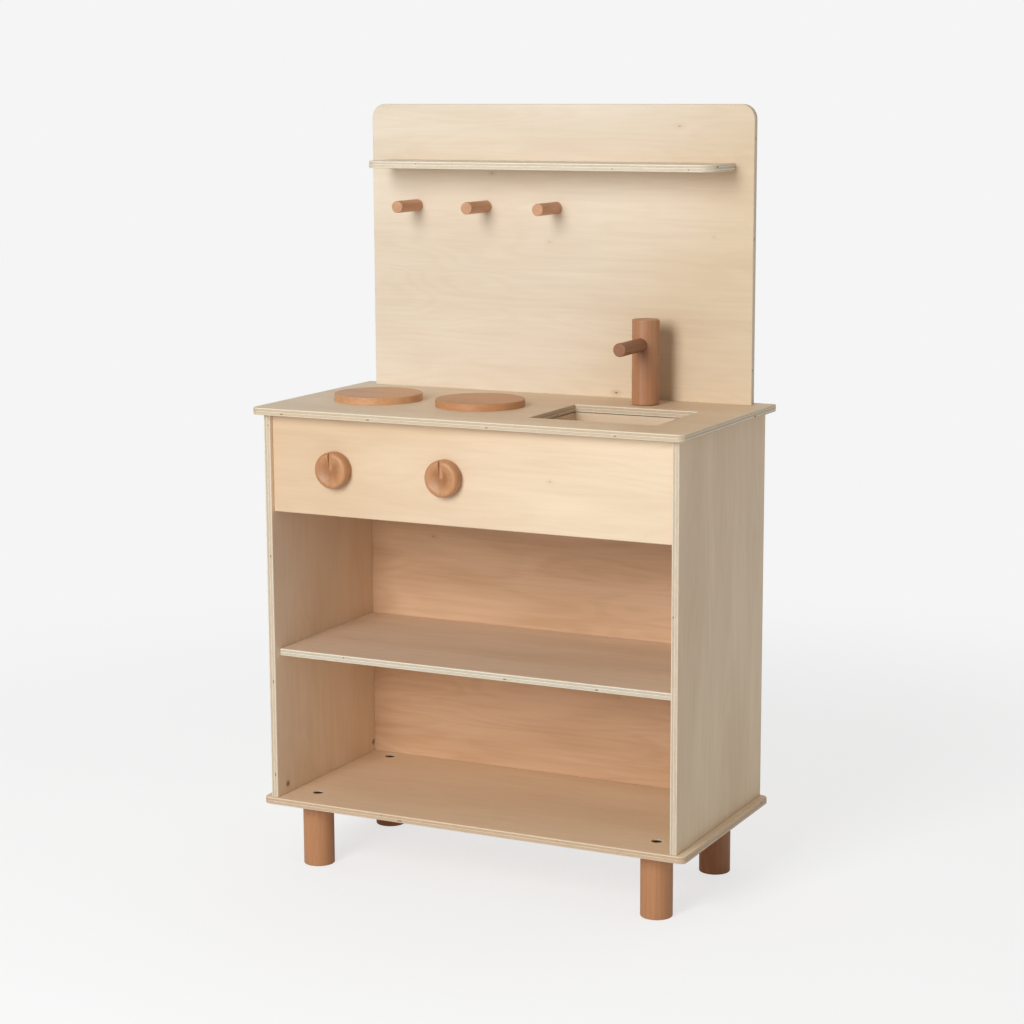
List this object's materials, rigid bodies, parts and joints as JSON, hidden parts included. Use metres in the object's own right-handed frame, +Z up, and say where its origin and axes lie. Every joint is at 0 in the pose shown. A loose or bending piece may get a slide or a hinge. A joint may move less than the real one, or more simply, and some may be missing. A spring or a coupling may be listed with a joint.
{
  "type": "toy kitchen",
  "caption": "Free-standing wooden toy kitchen: open plywood cabinet on round legs with shelf, worktop, hob discs, turning knobs, sink, swivel tap and splashback with ledge and hook pegs.",
  "frame": {"origin": "on the floor under the middle of the object's box", "axes": "+Z up, +X to the right of someone facing the front, +Y from the front to the rear"},
  "size_m": [0.603, 0.31, 1],
  "materials": {
    "plywood": "clear matt lacquer over a pale face veneer, cut edges show the plies",
    "beech": "turned and oiled, satin",
    "dowel_wood": "raw, fluted dowel drawn plain",
    "dark_steel": "black oxide, satin",
    "zinc_steel": "zinc plated",
    "fibre_washer": "plain nylon"
  },
  "bodies": {
    "cabinet": {"back_panel": "plywood", "base_barrel_nuts": "zinc_steel", "base_bolts": "dark_steel", "base_panel": "plywood", "fascia_dowels": "dowel_wood", "fascia_panel": "plywood", "front_left_leg": "beech", "front_right_leg": "beech", "hob_screws": "zinc_steel", "knob_back_washers": "zinc_steel", "knob_front_washers": "fibre_washer", "ledge_screws": "zinc_steel", "ledge_shelf": "plywood", "left_hob_disc": "beech", "left_hook_peg": "beech", "left_side_panel": "plywood", "leg_bolts": "dark_steel", "leg_inserts": "zinc_steel", "mid_shelf": "plywood", "middle_hook_peg": "beech", "peg_screws": "zinc_steel", "rear_left_leg": "beech", "rear_right_leg": "beech", "right_hob_disc": "beech", "right_hook_peg": "beech", "right_side_panel": "plywood", "shelf_dowels": "dowel_wood", "sink_dowels": "dowel_wood", "sink_floor": "plywood", "sink_front_wall": "plywood", "sink_left_wall": "plywood", "sink_rear_wall": "plywood", "sink_right_wall": "plywood", "sink_screws": "zinc_steel", "splashback": "plywood", "splashback_barrel_nuts": "zinc_steel", "splashback_bolts": "dark_steel", "tap_slip_washer": "fibre_washer", "tap_under_washer": "zinc_steel", "worktop": "plywood", "worktop_dowels": "dowel_wood"},
    "left_knob_set": {"left_knob": "beech", "left_knob_insert": "zinc_steel", "left_knob_bolt": "dark_steel"},
    "right_knob_set": {"right_knob": "beech", "right_knob_insert": "zinc_steel", "right_knob_bolt": "dark_steel"},
    "tap_set": {"tap_post": "beech", "tap_spout": "beech", "tap_insert": "zinc_steel", "tap_bolt": "dark_steel"}
  },
  "joints": [
    {"name": "left_knob_turn", "type": "hinge", "parent": "cabinet", "child": "left_knob_set", "pos_m": [-0.187, -0.1445, 0.542], "axis": [0, 1, 0], "continuous": true},
    {"name": "right_knob_turn", "type": "hinge", "parent": "cabinet", "child": "right_knob_set", "pos_m": [-0.028, -0.1445, 0.542], "axis": [0, 1, 0], "continuous": true},
    {"name": "tap_swivel", "type": "hinge", "parent": "cabinet", "child": "tap_set", "pos_m": [0.149, 0.082, 0.6188], "axis": [0, 0, 1], "range_deg": [-115, 115]}
  ]
}
